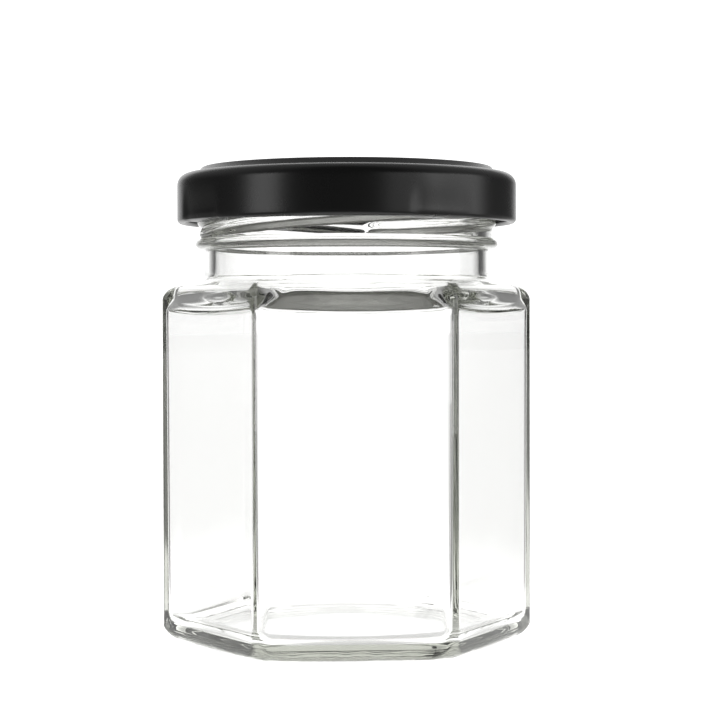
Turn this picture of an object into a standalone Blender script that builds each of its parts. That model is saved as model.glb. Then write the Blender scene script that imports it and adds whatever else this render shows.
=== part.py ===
"""Hexagonal clear glass jar, shut with a black twist-off lid.

Metres, +Z up. The origin is at the centre of the base, on the plane that the jar stands on.
Two flats of the hexagon face +Y and -Y, and two of its corners lie on +X and -X.
"""

import math

import bmesh
import bpy
from mathutils import Matrix, Vector

MM = 0.001

# The jar's body, outside
BODY_APOTHEM = 28.95 * MM  # from the axis to a flat
BODY_CORNER = 2.6 * MM  # radius of the six upright edges
HEEL_RADIUS = 2.3 * MM  # round edge under the walls
HEEL_CORNER = 8.5 * MM  # the upright edges are rounder there
BEARING_WIDTH = 3.0 * MM  # flat band that the jar stands on
PUSH_UP = 1.1 * MM  # hollow under the base
PUSH_UP_RADIUS = 21.0 * MM
SHOULDER_START = 60.8 * MM
SHOULDER_RADIUS = 2.3 * MM
SHOULDER_TURN = math.radians(75)  # how far the round edge goes before the slope

# The neck and the finish that takes the lid, outside
NECK_ROOT = 64.9 * MM
NECK_FILLET = 0.6 * MM
NECK_RADIUS = 25.45 * MM
BEAD_HEIGHT = 70.5 * MM
BEAD_HALF = 0.95 * MM
BEAD_RADIUS = 27.1 * MM
FINISH_RADIUS = 26.15 * MM
RIM_TOP = 83.05 * MM
RIM_ROUND = 1.2 * MM

# The jar's inside
WALL = 2.3 * MM
INNER_CORNER = 5.2 * MM
MOUTH_RADIUS = 23.6 * MM
FLOOR = 3.7 * MM
FLOOR_DOME = 0.3 * MM
INNER_HEEL = 4.2 * MM
INNER_SHOULDER_TOP = 64.1 * MM
INNER_SHOULDER_START = 58.2 * MM

# Four glass threads, right-handed, each ending low in a short level run
STARTS = 4
THREAD_END = math.radians(274.6)  # angle of the first thread's lower end
THREAD_SWEEP = math.radians(120)
THREAD_LEVEL = math.radians(10)
THREAD_LOW = 72.2 * MM  # height of the middle of the level run
THREAD_RISE = 11.0 * MM / math.radians(360)  # metres a radian after the level run
THREAD_HALF = 0.9 * MM
THREAD_DEPTH = 1.2 * MM
THREAD_FADE = math.radians(4)
THREAD_RINGS = 17

# The lid, pressed from tinplate
LID_RADIUS = 30.3 * MM
LID_SHEET = 0.25 * MM
LID_BOTTOM = 74.2 * MM
CURL_RADIUS = 0.75 * MM
LID_SHOULDER_TOP = 83.6 * MM
LID_SHOULDER_RADIUS = 2.1 * MM
CHANNEL_INNER = 26.9 * MM
PANEL_RADIUS = 26.0 * MM
PANEL_TOP = 84.25 * MM
RECESS_RADIUS = 20.4 * MM
RECESS_STEP = 0.9 * MM
RECESS_DEPTH = 0.4 * MM
LID_STEPS = 64

# The lid's four lugs, pressed in from the curl, each between two threads
LUG_AFTER_END = math.radians(25)  # from a thread's lower end to the lug above it
LUG_WIDTH = 10.0 * MM
LUG_INNER = 26.9 * MM
LUG_OUTER = 29.5 * MM
LUG_THICK = 0.45 * MM
LUG_HEIGHT = 74.3 * MM
LUG_TILT = math.radians(6)

# How finely the shapes are cut
SECTOR_POINTS = 10  # points of a section in each sixth of a turn
ARC_STEPS = 3  # of those, steps from a corner's middle to its end
SECTION_POINTS = 6 * SECTOR_POINTS
SIXTH = math.radians(60)


def arc(centre, radius, start, end, steps):
    """Points (across, up) on an arc round centre, both ends included."""
    return [
        (
            centre[0] + radius * math.cos(start + (end - start) * i / steps),
            centre[1] + radius * math.sin(start + (end - start) * i / steps),
        )
        for i in range(steps + 1)
    ]


def ease(share):
    """Smooth step from 0 to 1."""
    return share * share * (3 - 2 * share)


def hexagon_point(index, apothem, corner):
    """One of the points round a hexagon with round corners, the first corner on +X."""
    number = round(index / SECTOR_POINTS)
    step = index - number * SECTOR_POINTS
    side = math.copysign(1, step)
    half_turn = SIXTH / 2
    centre = (apothem - corner) / math.cos(half_turn)
    angle = side * min(abs(step), ARC_STEPS) / ARC_STEPS * half_turn
    point = Vector((centre + corner * math.cos(angle), corner * math.sin(angle), 0))
    if abs(step) > ARC_STEPS:
        middle = Vector((math.cos(half_turn), side * math.sin(half_turn), 0)) * apothem
        share = (abs(step) - ARC_STEPS) / (SECTOR_POINTS / 2 - ARC_STEPS)
        point = point.lerp(middle, share)
    return Matrix.Rotation(number * SIXTH, 3, "Z") @ point


def section(half_width, height, roundness, corner):
    """A ring of points: a hexagon at roundness 0, a circle at 1, and a blend between."""
    ring = []
    for index in range(SECTION_POINTS):
        turn = 2 * math.pi * index / SECTION_POINTS
        circle = Vector((math.cos(turn), math.sin(turn), 0)) * half_width
        hexagon = hexagon_point(index, half_width, corner)
        point = hexagon.lerp(circle, roundness)
        point.z = height
        ring.append(point)
    return ring


def thread_relief(angle, height):
    """How far a glass thread stands out of the finish at this angle and height."""
    relief = 0.0
    for start in range(STARTS):
        along = (angle - THREAD_END - start * 2 * math.pi / STARTS) % (2 * math.pi)
        if along > THREAD_SWEEP:
            continue
        middle = THREAD_LOW + THREAD_RISE * max(0.0, along - THREAD_LEVEL)
        off = abs(height - middle) / THREAD_HALF
        if off >= 1:
            continue
        ends = min(1.0, along / THREAD_FADE, (THREAD_SWEEP - along) / THREAD_FADE)
        crest = min(1.0, (1 - off) / 0.55)
        relief = max(relief, THREAD_DEPTH * ease(crest) * ease(ends))
    return relief


def base_sections():
    """Underside: shallow hollow, flat bearing band and round heel."""
    bearing_outer = BODY_APOTHEM - HEEL_RADIUS
    rings = [
        section(PUSH_UP_RADIUS * 0.55, PUSH_UP * 0.94, 1, 0),
        section(PUSH_UP_RADIUS, PUSH_UP * 0.7, 1, 0),
        section(bearing_outer - BEARING_WIDTH, 0, 0.1, HEEL_CORNER),
        section(bearing_outer, 0, 0, HEEL_CORNER),
    ]
    heel = arc((bearing_outer, HEEL_RADIUS), HEEL_RADIUS, -math.pi / 2, 0, 5)
    for across, up in heel[1:]:
        corner = HEEL_CORNER + (BODY_CORNER - HEEL_CORNER) * up / HEEL_RADIUS
        rings.append(section(across, up, 0, corner))
    return rings


def shoulder_sections():
    """Round top edge of the hexagon, and the slope that turns it into the round neck."""
    rings = []
    inset = BODY_APOTHEM - SHOULDER_RADIUS
    for across, up in arc((inset, SHOULDER_START), SHOULDER_RADIUS, 0, SHOULDER_TURN, 5):
        corner = max(BODY_CORNER - (BODY_APOTHEM - across), 0.5 * MM)
        rings.append(section(across, up, 0, corner))
    edge_width, edge_height = across, up
    root_width = NECK_RADIUS + NECK_FILLET
    root_height = NECK_ROOT - NECK_FILLET
    slope_steps = 4
    for step in range(1, slope_steps + 1):
        share = step / slope_steps
        width = edge_width + (root_width - edge_width) * share
        height = edge_height + (root_height - edge_height) * share
        rings.append(section(width, height, ease(share), corner))
    return rings


def neck_sections():
    """Fillet at the neck's root, the plain neck, the bead, the threads and the rim."""
    rings = []
    fillet = arc((NECK_RADIUS + NECK_FILLET, NECK_ROOT), NECK_FILLET, -math.pi / 2, -math.pi, 3)
    profile = fillet[1:]
    bead = arc((0, 0), 1, -math.pi / 2, math.pi / 2, 7)
    for across, up in bead:
        wall = NECK_RADIUS if up < 0 else FINISH_RADIUS
        profile.append((wall + (BEAD_RADIUS - wall) * across, BEAD_HEIGHT + BEAD_HALF * up))
    for across, up in profile:
        rings.append(section(across, up, 1, 0))
    low = THREAD_LOW - THREAD_HALF
    high = THREAD_LOW + THREAD_RISE * (THREAD_SWEEP - THREAD_LEVEL) + THREAD_HALF
    for step in range(THREAD_RINGS):
        height = low + (high - low) * step / (THREAD_RINGS - 1)
        ring = section(FINISH_RADIUS, height, 1, 0)
        for point in ring:
            relief = thread_relief(math.atan2(point.y, point.x), height)
            point.xy *= 1 + relief / FINISH_RADIUS
        rings.append(ring)
    outer = (FINISH_RADIUS - RIM_ROUND, RIM_TOP - RIM_ROUND)
    inner = (MOUTH_RADIUS + RIM_ROUND, RIM_TOP - RIM_ROUND)
    rim = arc(outer, RIM_ROUND, 0, math.pi / 2, 4) + arc(inner, RIM_ROUND, math.pi / 2, math.pi, 4)
    for across, up in rim:
        rings.append(section(across, up, 1, 0))
    return rings


def inner_sections():
    """Mouth, inner shoulder, inner walls and floor, from the top down."""
    rings = [section(MOUTH_RADIUS, INNER_SHOULDER_TOP, 1, 0)]
    inner_apothem = BODY_APOTHEM - WALL
    shoulder_steps = 7
    for step in range(1, shoulder_steps + 1):
        share = step / shoulder_steps
        width = MOUTH_RADIUS + (inner_apothem - MOUTH_RADIUS) * ease(share)
        height = INNER_SHOULDER_TOP + (INNER_SHOULDER_START - INNER_SHOULDER_TOP) * share
        rings.append(section(width, height, 1 - ease(share), INNER_CORNER))
    floor_edge = inner_apothem - INNER_HEEL
    heel = arc((floor_edge, FLOOR + INNER_HEEL), INNER_HEEL, 0, -math.pi / 2, 5)
    for across, up in heel:
        rings.append(section(across, up, 0, INNER_CORNER))
    rings.append(section(floor_edge * 0.5, FLOOR + FLOOR_DOME * 0.8, 1, INNER_CORNER))
    return rings


def loft(name, rings, first_pole, last_pole):
    """Skins the rings in order and closes both ends with a fan round a pole."""
    mesh = bmesh.new()
    loops = [[mesh.verts.new(point) for point in ring] for ring in rings]
    for lower, upper in zip(loops, loops[1:]):
        for i in range(SECTION_POINTS):
            j = (i + 1) % SECTION_POINTS
            mesh.faces.new((lower[i], lower[j], upper[j], upper[i]))
    for pole, loop, facing in ((first_pole, loops[0], 1), (last_pole, loops[-1], -1)):
        centre = mesh.verts.new(pole)
        for i in range(SECTION_POINTS):
            j = (i + 1) % SECTION_POINTS
            mesh.faces.new((centre, loop[j], loop[i])[::facing])
    data = bpy.data.meshes.new(name)
    mesh.to_mesh(data)
    mesh.free()
    made = bpy.data.objects.new(name, data)
    data.shade_smooth()
    data.set_sharp_from_angle(angle=math.radians(40))
    return made


def make_jar():
    """The glass jar, one solid: outside from the base up, over the rim, inside down to the floor."""
    rings = base_sections() + shoulder_sections() + neck_sections() + inner_sections()
    return loft("jar", rings, (0, 0, PUSH_UP), (0, 0, FLOOR + FLOOR_DOME))


def lid_outline():
    """Half section of the lid as (across, up), down its outside, round the curl and back inside."""
    outer_shoulder = LID_RADIUS - LID_SHOULDER_RADIUS
    shoulder_centre = (outer_shoulder, LID_SHOULDER_TOP - LID_SHOULDER_RADIUS)
    curl_centre = (LID_RADIUS - CURL_RADIUS, LID_BOTTOM + CURL_RADIUS)
    inner_wall = LID_RADIUS - LID_SHEET
    under_channel = LID_SHOULDER_TOP - LID_SHEET
    inner_round = LID_SHOULDER_RADIUS - LID_SHEET
    outline = [
        (0, PANEL_TOP - RECESS_DEPTH),
        (RECESS_RADIUS, PANEL_TOP - RECESS_DEPTH),
        (RECESS_RADIUS + RECESS_STEP, PANEL_TOP),
        (PANEL_RADIUS - 0.5 * MM, PANEL_TOP),
        (PANEL_RADIUS, PANEL_TOP - 0.15 * MM),
        (CHANNEL_INNER - 0.3 * MM, LID_SHOULDER_TOP + 0.1 * MM),
        (CHANNEL_INNER, LID_SHOULDER_TOP),
    ]
    outline += arc(shoulder_centre, LID_SHOULDER_RADIUS, math.pi / 2, 0, 5)
    outline += arc(curl_centre, CURL_RADIUS, 0, -math.pi * 1.25, 8)
    outline.append((inner_wall, LID_BOTTOM + 2.2 * CURL_RADIUS))
    outline += arc(shoulder_centre, inner_round, 0, math.pi / 2, 4)
    outline += [
        (CHANNEL_INNER - 0.2 * MM, under_channel),
        (PANEL_RADIUS - 0.6 * MM, PANEL_TOP - LID_SHEET),
        (RECESS_RADIUS + RECESS_STEP + 0.1 * MM, PANEL_TOP - LID_SHEET),
        (RECESS_RADIUS, PANEL_TOP - RECESS_DEPTH - LID_SHEET),
        (0, PANEL_TOP - RECESS_DEPTH - LID_SHEET),
    ]
    return outline


def make_lug(number, cutters):
    """One lug: a small plate, tilted inwards and down from the curl."""
    angle = THREAD_END + LUG_AFTER_END + number * 2 * math.pi / STARTS
    across = (LUG_INNER + LUG_OUTER) / 2
    bpy.ops.mesh.primitive_cube_add(size=1)
    lug = bpy.context.active_object
    lug.name = f"lug_{number}"
    size = Matrix.Diagonal((LUG_OUTER - LUG_INNER, LUG_WIDTH, LUG_THICK, 1))
    lug.data.transform(size)
    bevel = lug.modifiers.new("Round", "BEVEL")
    bevel.width = 0.15 * MM
    bevel.segments = 2
    place = Matrix.Rotation(angle, 4, "Z") @ Matrix.Translation((across, 0, LUG_HEIGHT))
    lug.matrix_world = place @ Matrix.Rotation(-LUG_TILT, 4, "Y")
    move_to(lug, cutters)
    lug.hide_render = True
    lug.display_type = "WIRE"
    return lug


def make_lid(cutters):
    """The lid: a turned shell, joined with its four lugs."""
    data = bpy.data.meshes.new("lid")
    points = [(across, 0, up) for across, up in lid_outline()]
    data.from_pydata(points, [(i, i + 1) for i in range(len(points) - 1)], [])
    lid = bpy.data.objects.new("lid", data)
    screw = lid.modifiers.new("Turn", "SCREW")
    screw.angle = 2 * math.pi
    screw.steps = LID_STEPS
    screw.render_steps = LID_STEPS
    screw.use_merge_vertices = True
    screw.merge_threshold = 0.00001
    screw.use_smooth_shade = True
    for number in range(STARTS):
        make_lug(number, cutters)
    join = lid.modifiers.new("Lugs", "BOOLEAN")
    join.operation = "UNION"
    join.operand_type = "COLLECTION"
    join.collection = cutters
    return lid


def move_to(made, collection):
    """Puts an object in one collection only."""
    for old in list(made.users_collection):
        old.objects.unlink(made)
    collection.objects.link(made)


def clear_glass():
    """Soda-lime glass: colourless, with a faint green-grey tint in its thickness."""
    material = bpy.data.materials.new("clear soda-lime glass")
    material.use_nodes = True
    shader = material.node_tree.nodes["Principled BSDF"]
    shader.inputs["Base Color"].default_value = (0.93, 0.95, 0.93, 1)
    shader.inputs["Roughness"].default_value = 0.02
    shader.inputs["IOR"].default_value = 1.52
    shader.inputs["Transmission Weight"].default_value = 1
    return material


def black_lacquer():
    """Black satin lacquer over tinplate."""
    material = bpy.data.materials.new("black satin lacquer")
    material.use_nodes = True
    shader = material.node_tree.nodes["Principled BSDF"]
    shader.inputs["Base Color"].default_value = (0.008, 0.008, 0.008, 1)
    shader.inputs["Roughness"].default_value = 0.32
    return material


def main():
    for old in list(bpy.data.objects):
        bpy.data.objects.remove(old, do_unlink=True)
    parts = bpy.data.collections.new("hexagonal jar with lid")
    cutters = bpy.data.collections.new("lugs to join")
    for collection in (parts, cutters):
        bpy.context.scene.collection.children.link(collection)
    jar = make_jar()
    jar.data.materials.append(clear_glass())
    parts.objects.link(jar)
    lid = make_lid(cutters)
    lid.data.materials.append(black_lacquer())
    parts.objects.link(lid)


main()
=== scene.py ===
# %% [markdown]
# A hexagonal glass jar, shut with a black twist-off lid.
#
# Such a jar is pressed and blown from a gob of soda-lime glass in an iron mould: six flat walls with
# round upright edges, a thick base, a shoulder that turns the hexagon into a round neck, and on the
# neck a bead and four short threads. The lid is stamped from lacquered tinplate. This file builds
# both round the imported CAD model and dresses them, then sets a floor, lights and a camera.

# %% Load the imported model
import math

import bmesh
import bpy
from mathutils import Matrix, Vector


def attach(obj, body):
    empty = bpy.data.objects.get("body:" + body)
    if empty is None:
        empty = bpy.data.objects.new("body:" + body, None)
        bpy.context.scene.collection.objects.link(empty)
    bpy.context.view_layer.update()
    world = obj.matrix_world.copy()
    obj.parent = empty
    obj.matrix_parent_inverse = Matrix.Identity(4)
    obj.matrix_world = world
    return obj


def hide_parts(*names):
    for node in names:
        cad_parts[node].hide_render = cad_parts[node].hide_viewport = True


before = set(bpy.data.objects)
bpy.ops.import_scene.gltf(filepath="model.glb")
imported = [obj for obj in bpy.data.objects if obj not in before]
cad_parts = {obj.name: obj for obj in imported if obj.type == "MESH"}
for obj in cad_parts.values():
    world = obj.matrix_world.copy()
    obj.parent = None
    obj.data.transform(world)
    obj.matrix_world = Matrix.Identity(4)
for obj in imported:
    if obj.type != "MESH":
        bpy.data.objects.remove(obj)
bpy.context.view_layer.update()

MM = 0.001

# %% [markdown]
# Every node tree below, for shapes and for materials, is built with one helper. It adds a node, sets
# its properties, and then either links or sets each input. Colours are picked as sRGB hex values,
# as a paint chart gives them, but Blender's shaders work on linear light, so one function turns
# the one into the other.

# %% Helpers for nodes and colours
MATHS, VECTOR_MATHS, MAP_RANGE = "ShaderNodeMath", "ShaderNodeVectorMath", "ShaderNodeMapRange"


def add(tree, kind, inputs=(), **settings):
    """Adds a node. inputs holds values, sockets or nodes, in order or by the sockets' names."""
    made = tree.nodes.new(kind)
    for name, value in settings.items():
        setattr(made, name, value)
    for key, value in inputs.items() if isinstance(inputs, dict) else enumerate(inputs):
        if isinstance(key, int):
            socket = made.inputs[key]
        else:
            socket = next(s for s in made.inputs if s.enabled and s.name == key)
        if isinstance(value, bpy.types.Node):
            value = next(s for s in value.outputs if s.enabled)
        if isinstance(value, bpy.types.NodeSocket):
            tree.links.new(value, socket)
        else:
            socket.default_value = value
    return made


def linear(colour):
    """An sRGB hex colour as linear red, green, blue and alpha."""
    parts = [int(colour[i : i + 2], 16) / 255 for i in (1, 3, 5)]
    return [p / 12.92 if p <= 0.04045 else ((p + 0.055) / 1.055) ** 2.4 for p in parts] + [1]


print("light grey in linear light:", [round(v, 3) for v in linear("#c8c8c8")])

# %% [markdown]
# Both pieces are walls that go round an axis. A lathe (Blender's Screw) would do for the lid, but
# not for the jar, which is hexagonal below and round above. So one Geometry Nodes tree lofts both:
# it lays a grid of points, one column for each step round the axis and one row for each point of
# a half section, and moves every point to its place. Each point of the half section carries
# numbers of its own: how round the ring is there, how tight its corners are, how far its faces
# bow out, how far a thread may rise from it, how far it is pressed in at a dent, how wavy the
# glass is, and whether it belongs to the inside.

# %% The tree and its named inputs
ROW_NUMBERS = ("roundness", "corner", "bow", "thread", "dent_across", "dent_up", "wave", "inside")
INPUTS = {
    "NodeSocketGeometry": ("Half section",),
    "NodeSocketInt": ("Columns in a sixth", "Corner columns", "Thread starts", "Dents"),
    "NodeSocketFloat": (
        "Thread end angle",
        "Thread level",
        "Thread sweep",
        "Thread fade",
        "Thread low",
        "Thread rise",
        "Thread half width",
        "First dent angle",
        "Dent half angle",
        "Dent fade",
        "Wave length",
    ),
    "NodeSocketMaterial": ("Material", "Material inside"),
}
LOFT = bpy.data.node_groups.new("loft a half section", "GeometryNodeTree")
for kind, names in INPUTS.items():
    for name in names:
        LOFT.interface.new_socket(name, in_out="INPUT", socket_type=kind)
LOFT.interface.new_socket("Lofted wall", in_out="OUTPUT", socket_type="NodeSocketGeometry")
given = add(LOFT, "NodeGroupInput").outputs
print("inputs of the loft:", sum(len(names) for names in INPUTS.values()))

# %% The grid of points, and each one's column and row
SIDES = 6
section_mesh = {"Geometry": given["Half section"]}
count = add(LOFT, "GeometryNodeAttributeDomainSize", section_mesh, component="MESH")
rows = count.outputs["Point Count"]
columns = add(LOFT, MATHS, (given["Columns in a sixth"], SIDES), operation="MULTIPLY")
with_seam = add(LOFT, MATHS, (columns, 1), operation="ADD")
grid = add(LOFT, "GeometryNodeMeshGrid", {"Vertices X": with_seam, "Vertices Y": rows})
index = add(LOFT, "GeometryNodeInputIndex")
column = add(LOFT, "FunctionNodeIntegerMath", (index, rows), operation="DIVIDE_FLOOR")
row = add(LOFT, "FunctionNodeIntegerMath", (index, rows), operation="MODULO")
print("nodes so far:", len(LOFT.nodes))

# %% What the half section says of each row
sample = {"Geometry": given["Half section"], "Index": row}
sample["Value"] = add(LOFT, "GeometryNodeInputPosition")
sampled = add(LOFT, "GeometryNodeSampleIndex", sample, data_type="FLOAT_VECTOR")
section = add(LOFT, "ShaderNodeSeparateXYZ", (sampled,))
across, up = section.outputs["X"], section.outputs["Z"]
numbers = {}
for name in ROW_NUMBERS:
    stored = add(LOFT, "GeometryNodeInputNamedAttribute", {"Name": name}, data_type="FLOAT")
    sample["Value"] = stored
    numbers[name] = add(LOFT, "GeometryNodeSampleIndex", sample, data_type="FLOAT")
print("nodes so far:", len(LOFT.nodes))

# %% [markdown]
# A dent is a stretch of the ring where the rows move to a pressed shape, with a soft start and end.
# The lid's lugs are dents, and so is the sag of the glass between the jar's corners.

# %% Dents
TURN = 2 * math.pi
angle = add(LOFT, MATHS, (column, columns), operation="DIVIDE")
angle = add(LOFT, MATHS, (angle, TURN), operation="MULTIPLY")
dents = add(LOFT, MATHS, (given["Dents"], 1), operation="MAXIMUM")
pitch = add(LOFT, MATHS, (TURN, dents), operation="DIVIDE")
half_on = add(LOFT, MATHS, (pitch, 0.5), operation="MULTIPLY")
half_back = add(LOFT, MATHS, (pitch, -0.5), operation="MULTIPLY")
off_dent = add(LOFT, MATHS, (angle, given["First dent angle"]), operation="SUBTRACT")
off_dent = add(LOFT, MATHS, (off_dent, half_on, half_back), operation="WRAP")
off_dent = add(LOFT, MATHS, (off_dent,), operation="ABSOLUTE")
dent_edge = add(LOFT, MATHS, (given["Dent half angle"], given["Dent fade"]), operation="ADD")
ranges = {"Value": off_dent, "From Min": dent_edge, "From Max": given["Dent half angle"]}
dent = add(LOFT, MAP_RANGE, ranges, interpolation_type="SMOOTHSTEP")
across = add(LOFT, MATHS, (dent, numbers["dent_across"], across), operation="MULTIPLY_ADD")
up = add(LOFT, MATHS, (dent, numbers["dent_up"], up), operation="MULTIPLY_ADD")
print("nodes so far:", len(LOFT.nodes))

# %% [markdown]
# A thread of a twist-off jar is a short ridge. It starts level, then climbs, and its end passes over
# the start of the next one. So each point looks at two ridges, the one that started last and
# the one before it, and takes the higher.

# %% Threads
CREST = 0.1  # this share of a ridge's half width is at full height
starts = add(LOFT, MATHS, (given["Thread starts"], 1), operation="MAXIMUM")
start_pitch = add(LOFT, MATHS, (TURN, starts), operation="DIVIDE")
after_end = add(LOFT, MATHS, (angle, given["Thread end angle"]), operation="SUBTRACT")
after_end = add(LOFT, MATHS, (after_end, start_pitch, 0.0), operation="WRAP")
half_width = given["Thread half width"]
crest_half = add(LOFT, MATHS, (half_width, CREST), operation="MULTIPLY")
ridge = 0.0
for earlier in (0, 1):
    along = add(LOFT, MATHS, (start_pitch, earlier, after_end), operation="MULTIPLY_ADD")
    climb = add(LOFT, MATHS, (along, given["Thread level"]), operation="SUBTRACT")
    climb = add(LOFT, MATHS, (climb, 0.0), operation="MAXIMUM")
    middle = (climb, given["Thread rise"], given["Thread low"])
    middle = add(LOFT, MATHS, middle, operation="MULTIPLY_ADD")
    off = add(LOFT, MATHS, (up, middle), operation="SUBTRACT")
    off = add(LOFT, MATHS, (off,), operation="ABSOLUTE")
    ranges = {"Value": off, "From Min": half_width, "From Max": crest_half}
    crest = add(LOFT, MAP_RANGE, ranges, interpolation_type="SMOOTHSTEP")
    ranges = {"Value": along, "From Min": 0.0, "From Max": given["Thread fade"]}
    begun = add(LOFT, MAP_RANGE, ranges, interpolation_type="SMOOTHSTEP")
    ranges["Value"] = add(LOFT, MATHS, (given["Thread sweep"], along), operation="SUBTRACT")
    ended = add(LOFT, MAP_RANGE, ranges, interpolation_type="SMOOTHSTEP")
    lasting = add(LOFT, MATHS, (begun, ended), operation="MULTIPLY")
    one = add(LOFT, MATHS, (crest, lasting), operation="MULTIPLY")
    ridge = add(LOFT, MATHS, (ridge, one), operation="MAXIMUM")
relief = add(LOFT, MATHS, (ridge, numbers["thread"]), operation="MULTIPLY")
print("nodes so far:", len(LOFT.nodes))

# %% [markdown]
# Every column belongs to the corner of the hexagon that it is nearest to. The first few columns on
# either side go round the corner's arc, and the others run along the face, closer together near
# the corner, where light bends most.

# %% The nearest corner of each column, and how far the column is from it
DENSER_AT_CORNERS = 1.3
in_sixth, at_corner = given["Columns in a sixth"], given["Corner columns"]
sixth = add(LOFT, MATHS, (column, in_sixth), operation="DIVIDE")
sixth = add(LOFT, MATHS, (sixth,), operation="ROUND")
corner_column = add(LOFT, MATHS, (sixth, in_sixth), operation="MULTIPLY")
from_corner = add(LOFT, MATHS, (column, corner_column), operation="SUBTRACT")
side = add(LOFT, MATHS, (from_corner,), operation="SIGN")
away = add(LOFT, MATHS, (from_corner,), operation="ABSOLUTE")
into_corner = add(LOFT, MATHS, (away, at_corner), operation="DIVIDE")
into_corner = add(LOFT, MATHS, (into_corner, 1.0), operation="MINIMUM")
half_columns = add(LOFT, MATHS, (in_sixth, 0.5), operation="MULTIPLY")
on_face = add(LOFT, MATHS, (half_columns, at_corner), operation="SUBTRACT")
along_face = add(LOFT, MATHS, (away, at_corner), operation="SUBTRACT")
along_face = add(LOFT, MATHS, (along_face, 0.0), operation="MAXIMUM")
along_face = add(LOFT, MATHS, (along_face, on_face), operation="DIVIDE")
along_face = add(LOFT, MATHS, (along_face, DENSER_AT_CORNERS), operation="POWER")
print("nodes so far:", len(LOFT.nodes))

# %% [markdown]
# A face may bow out a little. It is then a flat arc that meets the corner's arc without a kink. The
# bow is the angle that the face has turned by where the two meet. From it and the corner's radius
# follows the radius of the face, and from that where each column lies: out from the axis, and
# aside from the middle of the face.

# %% The radius of a bowed face
FLATTEST = 0.0005  # the least bow in radians, because a flat face has no radius
HALF_SIXTH = math.radians(30)
SLANT = math.tan(HALF_SIXTH)
corner = numbers["corner"]
turn = add(LOFT, MATHS, (numbers["bow"], FLATTEST), operation="MAXIMUM")
sine = add(LOFT, MATHS, (turn,), operation="SINE")
cosine = add(LOFT, MATHS, (turn,), operation="COSINE")
lean = add(LOFT, MATHS, (cosine, SLANT), operation="MULTIPLY")
reach = add(LOFT, MATHS, (sine, lean), operation="SUBTRACT")
half_face = add(LOFT, MATHS, (across, SLANT), operation="MULTIPLY")
reach = add(LOFT, MATHS, (corner, reach, half_face), operation="MULTIPLY_ADD")
bulge = add(LOFT, MATHS, (1.0, cosine), operation="SUBTRACT")
bulge = add(LOFT, MATHS, (bulge, SLANT), operation="MULTIPLY")
bulge = add(LOFT, MATHS, (sine, bulge), operation="ADD")
face = add(LOFT, MATHS, (reach, bulge), operation="DIVIDE")
print("nodes so far:", len(LOFT.nodes))

# %% Where a column lies on the hexagon
past_face = add(LOFT, MATHS, (turn, HALF_SIXTH), operation="SUBTRACT")
corner_turn = add(LOFT, MATHS, (into_corner, past_face, HALF_SIXTH), operation="MULTIPLY_ADD")
face_turn = add(LOFT, MATHS, (1.0, along_face), operation="SUBTRACT")
face_turn = add(LOFT, MATHS, (turn, face_turn), operation="MULTIPLY")
sink = add(LOFT, MATHS, (face_turn, 0.5), operation="MULTIPLY")
sink = add(LOFT, MATHS, (sink,), operation="SINE")
sink = add(LOFT, MATHS, (sink, 2.0), operation="POWER")
sink = add(LOFT, MATHS, (face, sink), operation="MULTIPLY")
sink = add(LOFT, MATHS, (sink, -2.0), operation="MULTIPLY")
out = add(LOFT, MATHS, (corner_turn,), operation="COSINE")
out = add(LOFT, MATHS, (out, cosine), operation="SUBTRACT")
out = add(LOFT, MATHS, (corner, out, sink), operation="MULTIPLY_ADD")
out = add(LOFT, MATHS, (across, out), operation="ADD")
aside = add(LOFT, MATHS, (corner_turn,), operation="SINE")
aside = add(LOFT, MATHS, (aside, sine), operation="SUBTRACT")
aside = add(LOFT, MATHS, (corner, aside), operation="MULTIPLY")
face_sine = add(LOFT, MATHS, (face_turn,), operation="SINE")
aside = add(LOFT, MATHS, (face, face_sine, aside), operation="MULTIPLY_ADD")
print("nodes so far:", len(LOFT.nodes))

# %% Turn it to its own corner
SINE_30, COSINE_30 = math.sin(HALF_SIXTH), math.cos(HALF_SIXTH)
near_x = add(LOFT, MATHS, (out, COSINE_30), operation="MULTIPLY")
near_x = add(LOFT, MATHS, (aside, SINE_30, near_x), operation="MULTIPLY_ADD")
near_y = add(LOFT, MATHS, (out, SINE_30), operation="MULTIPLY")
near_y = add(LOFT, MATHS, (aside, -COSINE_30, near_y), operation="MULTIPLY_ADD")
near_y = add(LOFT, MATHS, (near_y, side), operation="MULTIPLY")
near_corner = add(LOFT, "ShaderNodeCombineXYZ", (near_x, near_y))
to_corner = add(LOFT, MATHS, (sixth, 2 * HALF_SIXTH), operation="MULTIPLY")
turned = {"Vector": near_corner, "Angle": to_corner}
hexagon = add(LOFT, "ShaderNodeVectorRotate", turned, rotation_type="Z_AXIS")
print("nodes so far:", len(LOFT.nodes))

# %% The circle with its threads, and the blend of hexagon and circle
radius = add(LOFT, MATHS, (across, relief), operation="ADD")
circle_x = add(LOFT, MATHS, (angle,), operation="COSINE")
circle_x = add(LOFT, MATHS, (radius, circle_x), operation="MULTIPLY")
circle_y = add(LOFT, MATHS, (angle,), operation="SINE")
circle_y = add(LOFT, MATHS, (radius, circle_y), operation="MULTIPLY")
circle = add(LOFT, "ShaderNodeCombineXYZ", (circle_x, circle_y))
blend = {"Factor": numbers["roundness"], "A": hexagon, "B": circle}
blend = add(LOFT, "ShaderNodeMix", blend, data_type="VECTOR")
print("nodes so far:", len(LOFT.nodes))

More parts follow.
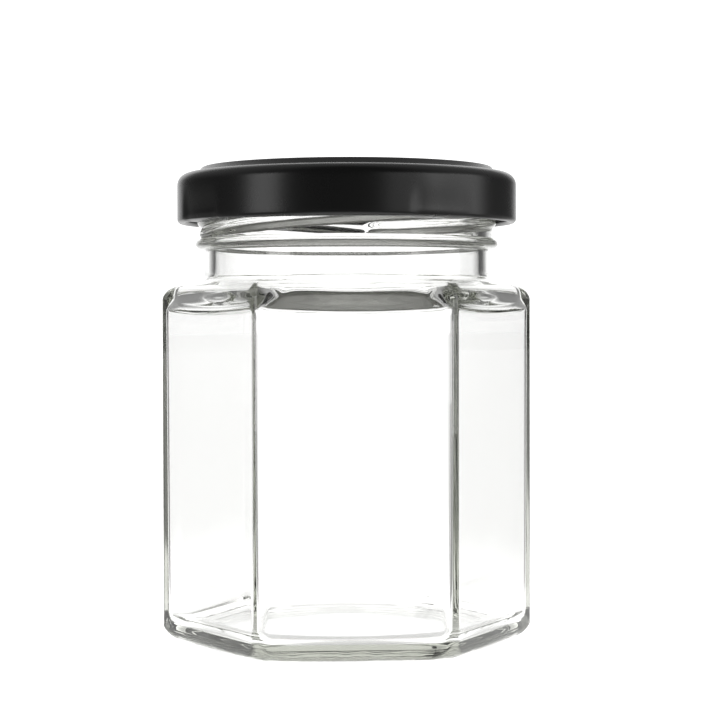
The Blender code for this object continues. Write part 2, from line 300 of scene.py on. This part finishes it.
# %% Slow waves in the thickness, as blown glass has them on its inner side
lift = add(LOFT, "ShaderNodeCombineXYZ", {"Z": up})
here = add(LOFT, VECTOR_MATHS, (blend, lift), operation="ADD")
per_metre = add(LOFT, MATHS, (1.0, given["Wave length"]), operation="DIVIDE")
waves = {"Vector": here, "Scale": per_metre, "Detail": 1.0}
waves = add(LOFT, "ShaderNodeTexNoise", waves)
swell = add(LOFT, MATHS, (waves, 0.5), operation="SUBTRACT")
swell = add(LOFT, MATHS, (swell, numbers["wave"]), operation="MULTIPLY")
outwards = add(LOFT, VECTOR_MATHS, (blend,), operation="NORMALIZE")
waved = add(LOFT, VECTOR_MATHS, {0: outwards, "Scale": swell}, operation="SCALE")
moved = add(LOFT, VECTOR_MATHS, (here, waved), operation="ADD")
print("nodes so far:", len(LOFT.nodes))

# %% [markdown]
# The grid's first and last column meet at a seam, and its first and last row shrink to a point on
# the axis. Merging by distance closes both. Which material a face gets depends on its row, so the
# row's mark is captured on the grid before the points move.

# %% Close the wall and set its materials
marked = add(LOFT, "GeometryNodeCaptureAttribute")
marked.capture_items.new("FLOAT", "inside")
LOFT.links.new(grid.outputs["Mesh"], marked.inputs["Geometry"])
LOFT.links.new(numbers["inside"].outputs[0], marked.inputs["inside"])
placed = {"Geometry": marked.outputs["Geometry"], "Position": moved}
placed = add(LOFT, "GeometryNodeSetPosition", placed)
closed = {"Geometry": placed, "Distance": 0.001 * MM}
closed = add(LOFT, "GeometryNodeMergeByDistance", closed)
smooth = add(LOFT, "GeometryNodeSetShadeSmooth", {"Geometry": closed})
real = add(LOFT, "GeometryNodeRealizeInstances", {"Geometry": smooth})
finish = {"Geometry": real, "Material": given["Material"]}
outside = add(LOFT, "GeometryNodeSetMaterial", finish)
within = {"A": marked.outputs["inside"], "B": 0.5}
within = add(LOFT, "FunctionNodeCompare", within, operation="GREATER_THAN")
finish = {"Geometry": outside, "Selection": within, "Material": given["Material inside"]}
finish = add(LOFT, "GeometryNodeSetMaterial", finish)
add(LOFT, "NodeGroupOutput", {"Lofted wall": finish})
print("the loft has", len(LOFT.nodes), "nodes")

# %% [markdown]
# The tree runs as a modifier on a mesh that holds nothing but the half section. What comes out is
# kept as a plain mesh, and measured: a wall of glass must have no open edge, or light would
# enter it and never leave.

# %% Run the loft on a half section
def loft(name, rows, material, inside=None, **sizes):
    """Lofts rows of (across, up, numbers by name) and keeps the result as a plain mesh."""
    data = bpy.data.meshes.new(name)
    links = [(i, i + 1) for i in range(len(rows) - 1)]
    data.from_pydata([(across, 0, up) for across, up, _ in rows], links, [])
    for key in ROW_NUMBERS:
        stored = data.attributes.new(key, "FLOAT", "POINT")
        stored.data.foreach_set("value", [numbers.get(key, 0.0) for _, _, numbers in rows])
    piece = bpy.data.objects.new(name, data)
    bpy.context.scene.collection.objects.link(piece)
    nodes = piece.modifiers.new("Loft", "NODES")
    nodes.node_group = LOFT
    sizes.update(material=material, material_inside=inside or material)
    for item in LOFT.interface.items_tree:
        key = item.name.replace(" ", "_").lower()
        if item.in_out == "INPUT" and key in sizes:
            nodes[item.identifier] = sizes[key]
    evaluated = piece.evaluated_get(bpy.context.evaluated_depsgraph_get())
    plain = bpy.data.meshes.new_from_object(evaluated)
    piece.modifiers.remove(nodes)
    piece.data = plain
    plain.name = name
    measure(piece)
    return piece


def measure(piece):
    """Prints what a piece's mesh holds, whether it is closed, and how far it reaches."""
    check = bmesh.new()
    check.from_mesh(piece.data)
    volume = check.calc_volume(signed=True)
    open_edges = sum(not e.is_manifold for e in check.edges)
    triangles = sum(len(f.verts) - 2 for f in check.faces)
    check.free()
    ends = [(min(side), max(side)) for side in zip(*(v.co for v in piece.data.vertices))]
    print(piece.name, "has", triangles, "triangles,", open_edges, "open edges")
    print("  holds", round(volume / MM**3 / 1000, 2), "cm3 of material")
    print("  reaches", [(round(low / MM, 2), round(high / MM, 2)) for low, high in ends], "mm")


# %% Arcs and easing for the half sections
def arc(centre, radius, start, end, steps):
    """Points (across, up) on an arc round centre, both ends included. Angles are in degrees."""
    points = []
    for i in range(steps + 1):
        turn = math.radians(start + (end - start) * i / steps)
        points.append((centre[0] + radius * math.cos(turn), centre[1] + radius * math.sin(turn)))
    return points


def ease(share):
    """Smooth step from 0 to 1."""
    return share * share * (3 - 2 * share)


print("a quarter of the way eases to", ease(0.25))

# %% [markdown]
# Soda-lime glass is clear with a breath of olive grey that shows only where light runs a long way
# through it, as along the base and the upright edges. Its surface is fire-polished, so it is as
# smooth as glass gets. A Principled shader with full transmission makes the surface, and Volume
# Absorption makes the tint grow with the thickness, as it really does. Only the foot is uneven:
# it touched the cold mould and the conveyor while soft. A bump is enough for that.

# %% Clear soda-lime glass, fire-polished
def clear_glass():
    material = bpy.data.materials.new("soda-lime glass, fire-polished")
    material.use_nodes = True
    tree = material.node_tree
    shader = tree.nodes["Principled BSDF"]
    shader.inputs["Base Color"].default_value = linear("#ffffff")
    shader.inputs["Roughness"].default_value = 0.0
    shader.inputs["IOR"].default_value = 1.52
    shader.inputs["Transmission Weight"].default_value = 1.0
    # Over 60 mm of glass this leaves about 39% of red, 40% of green and 35% of blue
    tint = {"Color": linear("#e4e5e1"), "Density": 70.0}
    absorption = add(tree, "ShaderNodeVolumeAbsorption", tint)
    tree.links.new(absorption.outputs[0], tree.nodes["Material Output"].inputs["Volume"])

    # Chill marks about 4 mm apart, only on the foot's rim and just above the table
    place = add(tree, "ShaderNodeTexCoord").outputs["Object"]
    apart = add(tree, "ShaderNodeSeparateXYZ", {"Vector": place})
    low = {"Value": apart.outputs["Z"], "From Min": 0.8 * MM, "From Max": 2.0 * MM}
    low = add(tree, MAP_RANGE, {**low, "To Min": 1.0, "To Max": 0.0})
    distance = add(tree, VECTOR_MATHS, (place,), operation="LENGTH").outputs["Value"]
    rim = {"Value": distance, "From Min": 24 * MM, "From Max": 27 * MM}
    rim = add(tree, MAP_RANGE, rim)
    on_foot = add(tree, MATHS, (low, rim), operation="MULTIPLY")
    marks = {"Vector": place, "Scale": 1 / (4 * MM), "Detail": 1.0}
    marks = add(tree, "ShaderNodeTexNoise", marks)
    marks = add(tree, MATHS, (marks.outputs["Fac"], on_foot), operation="MULTIPLY")
    bump = add(tree, "ShaderNodeBump", {"Height": marks, "Distance": 0.8 * MM, "Strength": 0.5})
    tree.links.new(bump.outputs[0], shader.inputs["Normal"])
    return material


GLASS = clear_glass()
print("glass:", len(GLASS.node_tree.nodes), "nodes")

# %% [markdown]
# The half section of the jar runs from the middle of the underside outwards, round the heel, up the
# wall, over the shoulder to the neck, past the bead and the threads, over the rim, and back down
# the inside to the middle of the floor. Outside it keeps the CAD solid's sizes, but for rounder
# corners on the shoulder and a larger fillet under the neck. Each cell below adds one stretch.

# %% The underside: a shallow hollow, the flat band that the jar stands on, and the heel
BODY = 28.95 * MM  # from the axis to a flat
BODY_CORNER = 2.6 * MM  # radius of the upright edges
HEEL = 2.3 * MM
HEEL_CORNER = 8.5 * MM  # the upright edges are rounder at the foot
HOLLOW, HOLLOW_RADIUS, HOLLOW_DROP = 1.1 * MM, 21 * MM, 0.3
BAND, BAND_ROUNDNESS = 3.0 * MM, 0.1
JAR_ROWS = []


def jar_row(across, up, roundness=0.0, corner=0.0, **more):
    """Adds a point to the jar's half section."""
    JAR_ROWS.append((across, up, {"roundness": roundness, "corner": corner, **more}))


for share in (0, 0.15, 0.3, 0.45, 0.6, 0.72, 0.82, 0.9, 0.96, 1.0):
    jar_row(HOLLOW_RADIUS * share, HOLLOW * (1 - HOLLOW_DROP * share**3), 1)
band_inner, band_outer = BODY - HEEL - BAND, BODY - HEEL
for share in (0.25, 0.5, 0.75):
    across = HOLLOW_RADIUS + (band_inner - HOLLOW_RADIUS) * share
    up = HOLLOW * (1 - HOLLOW_DROP) * (1 - ease(share))
    jar_row(across, up, 1 - (1 - BAND_ROUNDNESS) * ease(share), HEEL_CORNER)
for share in (0, 0.1, 0.5, 0.9):
    across = band_inner + (band_outer - band_inner) * share
    jar_row(across, 0, BAND_ROUNDNESS * (1 - share), HEEL_CORNER)
for across, up in arc((band_outer, HEEL), HEEL, -90, 0, 10):
    jar_row(across, up, 0, HEEL_CORNER + (BODY_CORNER - HEEL_CORNER) * up / HEEL)
print("rows of the underside:", len(JAR_ROWS))

# %% The wall, its round top edge and the slope to the neck
SHOULDER_START = 60.8 * MM
SHOULDER, SHOULDER_ANGLE = 2.3 * MM, 75
SHOULDER_CORNER = 5.0 * MM
NECK, NECK_ROOT, NECK_FILLET = 25.45 * MM, 64.9 * MM, 1.2 * MM
WALL_MARGIN = 0.4 * MM
wall_low, wall_high = HEEL + WALL_MARGIN, SHOULDER_START - WALL_MARGIN
for step in range(13):
    jar_row(BODY, wall_low + (wall_high - wall_low) * step / 12, 0, BODY_CORNER)
for across, up in arc((BODY - SHOULDER, SHOULDER_START), SHOULDER, 0, SHOULDER_ANGLE, 10):
    corner = BODY_CORNER + (SHOULDER_CORNER - BODY_CORNER) * (up - SHOULDER_START) / SHOULDER
    jar_row(across, up, 0, corner)
root = (NECK + NECK_FILLET, NECK_ROOT - NECK_FILLET)
for step in range(1, 13):
    share = step / 12
    slope = (across + (root[0] - across) * share, up + (root[1] - up) * share)
    jar_row(*slope, ease(share), corner)
print("rows up to the neck:", len(JAR_ROWS))

# %% The neck, its bead and the finish with the threads
BEAD, BEAD_UP, BEAD_HALF = 27.1 * MM, 70.5 * MM, 0.95 * MM
FINISH = 26.15 * MM
THREAD_LOW, THREAD_HIGH, THREAD_DEPTH = 72.2 * MM, 78.4 * MM, 0.6 * MM
NECK_MARGIN = 0.3 * MM
for point in arc((NECK + NECK_FILLET, NECK_ROOT), NECK_FILLET, -90, -180, 5)[1:]:
    jar_row(*point, 1)
for up in (NECK_ROOT + NECK_MARGIN, 67 * MM, BEAD_UP - BEAD_HALF - NECK_MARGIN):
    jar_row(NECK, up, 1)
for across, up in arc((0, 0), 1, -90, 90, 14):
    wall = NECK if up < 0 else FINISH
    jar_row(wall + (BEAD - wall) * across, BEAD_UP + BEAD_HALF * up, 1)
low = BEAD_UP + BEAD_HALF + 0.05 * MM
for step in range(36):
    jar_row(FINISH, low + (THREAD_HIGH - low) * step / 35, 1, thread=THREAD_DEPTH)
jar_row(FINISH, 80 * MM, 1)
print("rows up to the rim:", len(JAR_ROWS))

# %% The rim and the inside of the neck
RIM_TOP, RIM_ROUND = 83.05 * MM, 1.2 * MM
MOUTH = 23.6 * MM
NECK_WAVE = 0.15 * MM
jar_row(FINISH, RIM_TOP - RIM_ROUND - NECK_MARGIN, 1)
for point in arc((FINISH - RIM_ROUND, RIM_TOP - RIM_ROUND), RIM_ROUND, 0, 90, 7):
    jar_row(*point, 1)
for point in arc((MOUTH + RIM_ROUND, RIM_TOP - RIM_ROUND), RIM_ROUND, 90, 180, 7)[1:]:
    jar_row(*point, 1)
for up in (80, 76, 72, 68, 66):
    jar_row(MOUTH, up * MM, 1, wave=NECK_WAVE)
print("rows over the rim:", len(JAR_ROWS))

# %% [markdown]
# The inside of a blown jar is shaped by air, not by the mould, so it is softer and less even. Under
# the neck the glass slopes out to the wall and sags a little between the corners. This slope is
# what shows as the grey band at the shoulder: it mirrors the inside of the lid.

# %% The inner shoulder
WALL_TOP, WALL_LOW = 1.6 * MM, 2.0 * MM  # how thick the wall is at its top and at its foot
INNER_CORNER, INNER_BOW = 1.8 * MM, math.radians(0.5)
SLOPE_CORNER = 6 * MM  # the slope's corners get this much rounder towards the neck
INNER_SHOULDER, INNER_BEND, INNER_SLOPE = 58.7 * MM, 1.2 * MM, 38.5
LIP, LIP_RISE = 0.45 * MM, 1.6  # how the neck turns into the slope
SAG = 0.8 * MM
inner = BODY - WALL_TOP
foot = arc((inner - INNER_BEND, INNER_SHOULDER), INNER_BEND, 0, INNER_SLOPE, 8)
rise = 1 / math.tan(math.radians(INNER_SLOPE))
for across in (MOUTH + 0.05 * MM, MOUTH + 0.2 * MM, MOUTH + LIP):
    up = foot[-1][1] + (foot[-1][0] - across) * rise + (LIP - across + MOUTH) * LIP_RISE
    jar_row(across, up, 1, dent_up=-SAG)
ring = {"corner": INNER_CORNER, "bow": INNER_BOW}
for step in range(1, 20):
    across = MOUTH + LIP + (foot[-1][0] - MOUTH - LIP) * step / 20
    up = foot[-1][1] + (foot[-1][0] - across) * rise
    ring["corner"] = INNER_CORNER + SLOPE_CORNER * (1 - step / 20)
    jar_row(across, up, 1 - ease(min(1, step / 9)), dent_up=-SAG, **ring)
for point in reversed(foot):
    jar_row(*point, dent_up=-SAG, **ring)
print("rows down to the inner wall:", len(JAR_ROWS))

# %% The inner wall, the inner heel and the floor
FLOOR, FLOOR_SWELL, INNER_HEEL = 2.6 * MM, 0.2 * MM, 2.6 * MM
WALL_WAVE = 0.05 * MM
WALL_SHARES = (0, 0.02, 0.045, 0.07, 0.1, 0.13, 0.16, 0.2, 0.25)
WALL_SHARES += (0.35, 0.45, 0.55, 0.65, 0.75, 0.85, 0.93, 1)
ring["corner"] = INNER_CORNER
wall_top, wall_bottom = INNER_SHOULDER - 0.5 * MM, FLOOR + INNER_HEEL + WALL_MARGIN
for share in WALL_SHARES:
    up = wall_top + (wall_bottom - wall_top) * share
    sag = -SAG * (1 - ease(min(1, share * 4)))
    wave = WALL_WAVE * math.sin(share * math.pi)
    jar_row(inner - (WALL_LOW - WALL_TOP) * share, up, wave=wave, dent_up=sag, **ring)
low = BODY - WALL_LOW - INNER_HEEL
for across, up in arc((low, FLOOR + INNER_HEEL), INNER_HEEL, 0, -90, 12):
    jar_row(across, up, **ring)
for share in (0.9, 0.75, 0.6, 0.45, 0.3, 0.15, 0.0):
    up = FLOOR + FLOOR_SWELL * ease(1 - share)
    jar_row(low * share, up, ease(1 - share) ** 0.5, **ring)
print("rows of the jar:", len(JAR_ROWS))

# %% Loft the jar
jar = loft(
    "glass_jar",
    JAR_ROWS,
    GLASS,
    columns_in_a_sixth=40,
    corner_columns=8,
    thread_starts=4,
    thread_end_angle=math.radians(274.6),
    thread_level=math.radians(10),
    thread_sweep=math.radians(120),
    thread_fade=math.radians(7),
    thread_low=THREAD_LOW,
    thread_rise=11 * MM / math.radians(360),
    thread_half_width=1.2 * MM,
    dents=6,
    first_dent_angle=math.radians(30),
    dent_fade=math.radians(30),
    wave_length=18 * MM,
)
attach(jar, "root")
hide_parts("jar")

# %% [markdown]
# The lid starts as a disc of tinplate, lacquered black on one side and enamelled white on the other
# while still flat, then drawn into a cup. Its bottom edge is curled inwards, and at four places the
# curl is pressed flat into a lug that runs in under a glass thread. The same loft makes it. The
# lugs are the loft's dents: the rows of the curl move to a flattened curl that reaches inwards,
# and the skirt above gives a little. The lid's rounded edge lies half a millimetre lower than in
# the solid, so that the raised ring stands clear of it as on the real lid.

# %% Black satin lacquer on tinplate
def black_lacquer():
    material = bpy.data.materials.new("black satin lacquer on tinplate")
    material.use_nodes = True
    tree = material.node_tree
    shader = tree.nodes["Principled BSDF"]
    shader.inputs["Base Color"].default_value = linear("#101010")
    shader.inputs["IOR"].default_value = 1.5
    place = add(tree, "ShaderNodeTexCoord").outputs["Object"]
    # Roller-coated lacquer: soft patches of sheen a few millimetres across
    patches = {"Vector": place, "Scale": 1 / (9 * MM), "Detail": 2.0}
    patches = add(tree, "ShaderNodeTexNoise", patches)
    sheen = add(tree, MAP_RANGE, {"Value": patches, "To Min": 0.25, "To Max": 0.30})
    tree.links.new(sheen.outputs[0], shader.inputs["Roughness"])
    # Orange peel: shallow bumps about half a millimetre apart
    peel = {"Vector": place, "Scale": 1 / (0.6 * MM), "Detail": 1.0}
    peel = add(tree, "ShaderNodeTexNoise", peel)
    bump = {"Strength": 0.08, "Distance": 0.05 * MM, "Height": peel}
    bump = add(tree, "ShaderNodeBump", bump)
    tree.links.new(bump.outputs[0], shader.inputs["Normal"])
    return material


LACQUER = black_lacquer()
print("lacquer:", len(LACQUER.node_tree.nodes), "nodes")


# %% White enamel, as the inside of a food lid has it
def white_enamel():
    material = bpy.data.materials.new("white food-safe enamel on tinplate")
    material.use_nodes = True
    shader = material.node_tree.nodes["Principled BSDF"]
    shader.inputs["Base Color"].default_value = linear("#d9d9d4")
    shader.inputs["Roughness"].default_value = 0.4
    shader.inputs["IOR"].default_value = 1.5
    return material


ENAMEL = white_enamel()
print("enamel:", [round(v, 3) for v in linear("#d9d9d4")])

# %% The lid's underside, from the middle out and down the inner wall
LID, LID_BOTTOM = 30.3 * MM, 74.2 * MM
SHEET = 0.25 * MM
CURL = 0.75 * MM
LID_SHOULDER, LID_SHOULDER_TOP = 2.1 * MM, 83.1 * MM
CHANNEL_INNER = 26.9 * MM
PANEL, PANEL_TOP = 26.0 * MM, 84.25 * MM
RECESS, RECESS_STEP, RECESS_DEPTH = 20.4 * MM, 0.9 * MM, 0.4 * MM
SOFT = 0.03 * MM  # how far a bend of the sheet rounds its edges
SKIRT_ROWS = 8
PINCH = 0.35 * MM  # how far the skirt gives way above a lug
LID_ROWS = []


def lid_row(across, up, **more):
    """Adds a point to the lid's half section, which is round all the way up."""
    LID_ROWS.append((across, up, {"roundness": 1.0, **more}))


under = PANEL_TOP - RECESS_DEPTH - SHEET
for share in (0, 0.25, 0.5, 0.75, 0.97):
    lid_row(RECESS * share, under, inside=1)
lid_row(RECESS + 0.1 * MM, under + SOFT, inside=1)
lid_row(RECESS + RECESS_STEP, PANEL_TOP - SHEET - SOFT, inside=1)
lid_row(RECESS + RECESS_STEP + 0.2 * MM, PANEL_TOP - SHEET, inside=1)
lid_row(PANEL - 0.6 * MM, PANEL_TOP - SHEET, inside=1)
lid_row(CHANNEL_INNER - 0.2 * MM, LID_SHOULDER_TOP - SHEET, inside=1)
shoulder = (LID - LID_SHOULDER, LID_SHOULDER_TOP - LID_SHOULDER)
for point in arc(shoulder, LID_SHOULDER - SHEET, 90, 0, 10):
    lid_row(*point, inside=1)
curl_top, skirt_top = LID_BOTTOM + 2 * CURL, LID_SHOULDER_TOP - LID_SHOULDER
for step in range(1, SKIRT_ROWS + 1):
    up = skirt_top + (curl_top + 0.2 * MM - skirt_top) * step / SKIRT_ROWS
    lid_row(LID - SHEET, up, inside=1, dent_across=-PINCH * ease(step / SKIRT_ROWS))
print("rows inside the lid:", len(LID_ROWS))

# %% Round the curl, from its inner side to the outer. A lug is this curl pressed flat
curl = (LID - CURL, LID_BOTTOM + CURL)
LUG, LUG_LENGTH, LUG_THICKNESS = (28.45 * MM, 74.45 * MM), 1.55 * MM, 0.36 * MM
LUG_SLOPE = 0.12
for turn in range(-225, 1, 15):
    cosine, sine = math.cos(math.radians(turn)), math.sin(math.radians(turn))
    across, up = curl[0] + CURL * cosine, curl[1] + CURL * sine
    pressed_across = LUG[0] + LUG_LENGTH * cosine
    pressed_up = LUG[1] + LUG_THICKNESS * sine + LUG_SLOPE * LUG_LENGTH * cosine
    lid_row(across, up, dent_across=pressed_across - across, dent_up=pressed_up - up)
print("rows round the curl:", len(LID_ROWS))

# %% Up the skirt outside, over the shoulder and the channel to the raised ring and the panel
for step in range(1, SKIRT_ROWS + 1):
    share = step / (SKIRT_ROWS + 1)
    up = curl[1] + (skirt_top - curl[1]) * step / (SKIRT_ROWS + 1)
    lid_row(LID, up, dent_across=-PINCH * ease(1 - share))
for point in arc(shoulder, LID_SHOULDER, 0, 90, 12):
    lid_row(*point)
lid_row(CHANNEL_INNER + 0.5 * MM, LID_SHOULDER_TOP)
lid_row(CHANNEL_INNER, LID_SHOULDER_TOP)
lid_row(CHANNEL_INNER - 0.3 * MM, LID_SHOULDER_TOP + 0.1 * MM)
lid_row(PANEL, PANEL_TOP - 0.15 * MM)
lid_row(PANEL - 0.2 * MM, PANEL_TOP - 0.04 * MM)
lid_row(PANEL - 0.6 * MM, PANEL_TOP)
lid_row(RECESS + RECESS_STEP + 0.2 * MM, PANEL_TOP)
lid_row(RECESS + RECESS_STEP, PANEL_TOP - SOFT)
lid_row(RECESS + 0.1 * MM, PANEL_TOP - RECESS_DEPTH + SOFT)
for share in (0.99, 0.75, 0.5, 0.25, 0):
    lid_row(RECESS * share, PANEL_TOP - RECESS_DEPTH)
print("rows of the lid:", len(LID_ROWS))

# %% Loft the lid
lid = loft(
    "tinplate_lid",
    LID_ROWS,
    LACQUER,
    inside=ENAMEL,
    columns_in_a_sixth=40,
    corner_columns=8,
    dents=4,
    first_dent_angle=math.radians(299.6),
    dent_half_angle=math.radians(8.5),
    dent_fade=math.radians(4),
    wave_length=18 * MM,
)
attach(lid, "root")
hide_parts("lid")

# %% [markdown]
# Clear glass shows only what it bends towards the eye. In front of an even white background a jar
# would vanish, so product photographers keep the white just behind it and let the sides of the
# room fall off to grey: the round edges then pick up that grey and draw the shape. The floor here
# is a pale light table, lit from below in a wedge that widens away from the camera and fades out at
# its sides. The room is white behind and grey elsewhere, and three soft boxes light the lid.

# %% Light table
WHITE = 1.4  # the luminance that the picture shows as white
TABLE_GLOW, TABLE_DIM = WHITE - 0.2, 0.12
TABLE_HALF, TABLE_SPREAD = 0.063, 0.185  # the wedge's half width at the jar, and how it widens
TABLE_FADE, TABLE_FADE_FAR = 0.025, 1.5
# The ring round the jar's foot is a painted contact shadow: the table's glow is dimmed there, not
# shaded by a lamp
FOOT_RING = 23.5 * MM  # radius of the ring of contact
PAINTED_SHADOW_KEEPS = 0.4  # the ring of contact keeps this share of the light


def light_table():
    """Opal acrylic, lit from below in a wedge that spreads away from the camera."""
    material = bpy.data.materials.new("opal acrylic light table")
    material.use_nodes = True
    tree = material.node_tree
    shader = tree.nodes["Principled BSDF"]
    shader.inputs["Base Color"].default_value = linear("#b4b4b2")
    shader.inputs["Roughness"].default_value = 0.8
    shader.inputs["Specular IOR Level"].default_value = 0.0
    shader.inputs["Emission Color"].default_value = linear("#ffffff")
    place = add(tree, "ShaderNodeTexCoord").outputs["Object"]
    apart = add(tree, "ShaderNodeSeparateXYZ", {"Vector": place})
    back = apart.outputs["Y"]

    # Full glow inside the wedge, a soft edge, and a dim glow beyond
    half = add(tree, MATHS, (back, TABLE_SPREAD, TABLE_HALF), operation="MULTIPLY_ADD")
    fade = {"Value": back, "From Min": 0.05, "From Max": 3.0}
    fade = add(tree, MAP_RANGE, {**fade, "To Min": TABLE_FADE, "To Max": TABLE_FADE_FAR})
    beside = add(tree, MATHS, (apart.outputs["X"],), operation="ABSOLUTE")
    beside = add(tree, MATHS, (beside, half), operation="SUBTRACT")
    glow = {"Value": beside, "From Max": fade, "To Min": TABLE_GLOW, "To Max": TABLE_DIM}
    glow = add(tree, MAP_RANGE, glow, interpolation_type="SMOOTHSTEP")

    # Nothing in front of the jar, and a painted contact shadow: the glow is dimmed in a ring where
    # its foot stands
    start = {"Value": back, "From Min": -0.2, "From Max": -0.09}
    start = add(tree, MAP_RANGE, start, interpolation_type="SMOOTHSTEP")
    glow = add(tree, MATHS, (glow, start), operation="MULTIPLY")
    distance = add(tree, VECTOR_MATHS, (place,), operation="LENGTH").outputs["Value"]
    off_ring = add(tree, MATHS, (distance, FOOT_RING), operation="SUBTRACT")
    off_ring = add(tree, MATHS, (off_ring,), operation="ABSOLUTE")
    shade = {"Value": off_ring, "From Min": 2 * MM, "From Max": 5.5 * MM, "To Min": PAINTED_SHADOW_KEEPS}
    shade = add(tree, MAP_RANGE, shade, interpolation_type="SMOOTHSTEP")
    glow = add(tree, MATHS, (glow, shade), operation="MULTIPLY")
    tree.links.new(glow.outputs[0], shader.inputs["Emission Strength"])
    return material


floor_data = bpy.data.meshes.new("floor")
floor_data.from_pydata([(-3, -3, 0), (3, -3, 0), (3, 3, 0), (-3, 3, 0)], [], [(0, 1, 2, 3)])
floor_data.materials.append(light_table())
floor = bpy.data.objects.new("floor", floor_data)
bpy.context.scene.collection.objects.link(floor)
print("floor:", [round(side, 1) for side in floor.dimensions], "m")


# %% Soft boxes for the lid's two highlights
def soft_box(name, place, width, height, power):
    """A rectangular light that faces the jar."""
    data = bpy.data.lights.new(name, "AREA")
    data.shape = "RECTANGLE"
    data.size, data.size_y = width, height
    data.energy = power
    made = bpy.data.objects.new(name, data)
    made.location = place
    aim = Vector((0, 0, 0.08)) - Vector(place)
    made.rotation_euler = aim.to_track_quat("-Z", "Y").to_euler()
    bpy.context.scene.collection.objects.link(made)
    print(name, "is", round(aim.length, 2), "m away")


soft_box("left box", (-0.62, -0.38, 0.16), 0.28, 0.4, 0.75)
soft_box("right box", (0.66, -0.19, 0.16), 0.6, 0.4, 1.05)
soft_box("right fill", (0.46, -0.52, 0.16), 0.5, 0.4, 0.45)

# %% The room: a white backdrop that fades to grey at its sides and above, and dark in front
BACKDROP_HALF, BACKDROP_END = math.radians(17), math.radians(36)  # either side of straight behind
FRONT_START, FRONT_END = math.radians(90), math.radians(150)
SIDE_GREY, TOP_GREY, FRONT_GREY = 0.09, 0.4, 0.08


def studio():
    made = bpy.data.worlds.new("studio with a white backdrop")
    made.use_nodes = True
    tree = made.node_tree
    way = add(tree, "ShaderNodeTexCoord").outputs["Generated"]
    apart = add(tree, "ShaderNodeSeparateXYZ", {"Vector": way})
    high = apart.outputs["Z"]
    beside = (apart.outputs["X"], apart.outputs["Y"])
    beside = add(tree, MATHS, beside, operation="ARCTAN2")
    beside = add(tree, MATHS, (beside,), operation="ABSOLUTE")
    room = {"Value": high, "From Min": 0.0, "From Max": 0.8}
    room.update({"To Min": SIDE_GREY, "To Max": TOP_GREY})
    room = add(tree, MAP_RANGE, room, interpolation_type="SMOOTHSTEP")
    front = {"Value": beside, "From Min": FRONT_START, "From Max": FRONT_END}
    front = add(tree, MAP_RANGE, front, interpolation_type="SMOOTHSTEP")
    room = {"Factor": front, "A": room, "B": FRONT_GREY}
    room = add(tree, "ShaderNodeMix", room, data_type="FLOAT")
    aside = {"Value": beside, "From Min": BACKDROP_HALF, "From Max": BACKDROP_END}
    aside = add(tree, MAP_RANGE, aside, interpolation_type="SMOOTHSTEP")
    above = {"Value": high, "From Min": 0.55, "From Max": 0.85}
    above = add(tree, MAP_RANGE, above, interpolation_type="SMOOTHSTEP")
    beyond = add(tree, MATHS, (aside, above), operation="MAXIMUM")
    grey = {"Factor": beyond, "A": WHITE, "B": room}
    grey = add(tree, "ShaderNodeMix", grey, data_type="FLOAT")
    light = tree.nodes["Background"]
    light.inputs["Color"].default_value = linear("#ffffff")
    tree.links.new(next(s for s in grey.outputs if s.enabled), light.inputs["Strength"])
    return made


bpy.context.scene.world = studio()
print("room:", len(bpy.context.scene.world.node_tree.nodes), "nodes")

# %% [markdown]
# The camera stands where the photograph's did: about 37 cm away and a little above the middle of
# the jar, so it looks down on the base and slightly up at the lid's edge. The jar's front
# flat is turned a little to the right.

# %% Camera
FRAME = 720  # the picture is this many pixels wide
PIXELS = 2043.0  # focal length in pixels of that picture
JAR_COLUMN, HORIZON_ROW = 347, 322  # where the jar's axis and the horizon lie in the picture
LEFT, AWAY, HIGH = 17.9, 366.6, 56.65  # mm from the middle of the jar's foot
ROLL = math.radians(0.12)
camera_data = bpy.data.cameras.new("camera")
camera_data.sensor_width = 36
camera_data.lens = PIXELS * camera_data.sensor_width / FRAME
camera = bpy.data.objects.new("camera", camera_data)
camera.location = (-LEFT * MM, -AWAY * MM, HIGH * MM)
heading = math.atan2(AWAY, LEFT) - math.atan((FRAME / 2 - JAR_COLUMN) / PIXELS)
tilt = math.atan((FRAME / 2 - HORIZON_ROW) / PIXELS)
camera.rotation_euler = (math.pi / 2 - tilt, ROLL, heading - math.pi / 2)
bpy.context.scene.collection.objects.link(camera)
bpy.context.scene.camera = camera
print("camera:", round(camera_data.lens, 1), "mm lens,", round(camera.location.length, 3), "m away")

# %% [markdown]
# Two settings belong to clear glass on white. The Standard view keeps the lit table as white as it
# is, where a film-like view would turn it grey. And light that the glass traps along its edges by
# total reflection goes round many times before it gets out, so it may bounce 32 times. With the
# usual few bounces those places turn black, though in a real jar they are grey.

# %% White stays white, and trapped light finds its way out
bpy.context.scene.view_settings.view_transform = "Standard"
LIGHT_PATHS = bpy.context.scene.cycles
LIGHT_PATHS.max_bounces = LIGHT_PATHS.glossy_bounces = LIGHT_PATHS.transmission_bounces = 32
print("bounces:", LIGHT_PATHS.max_bounces)
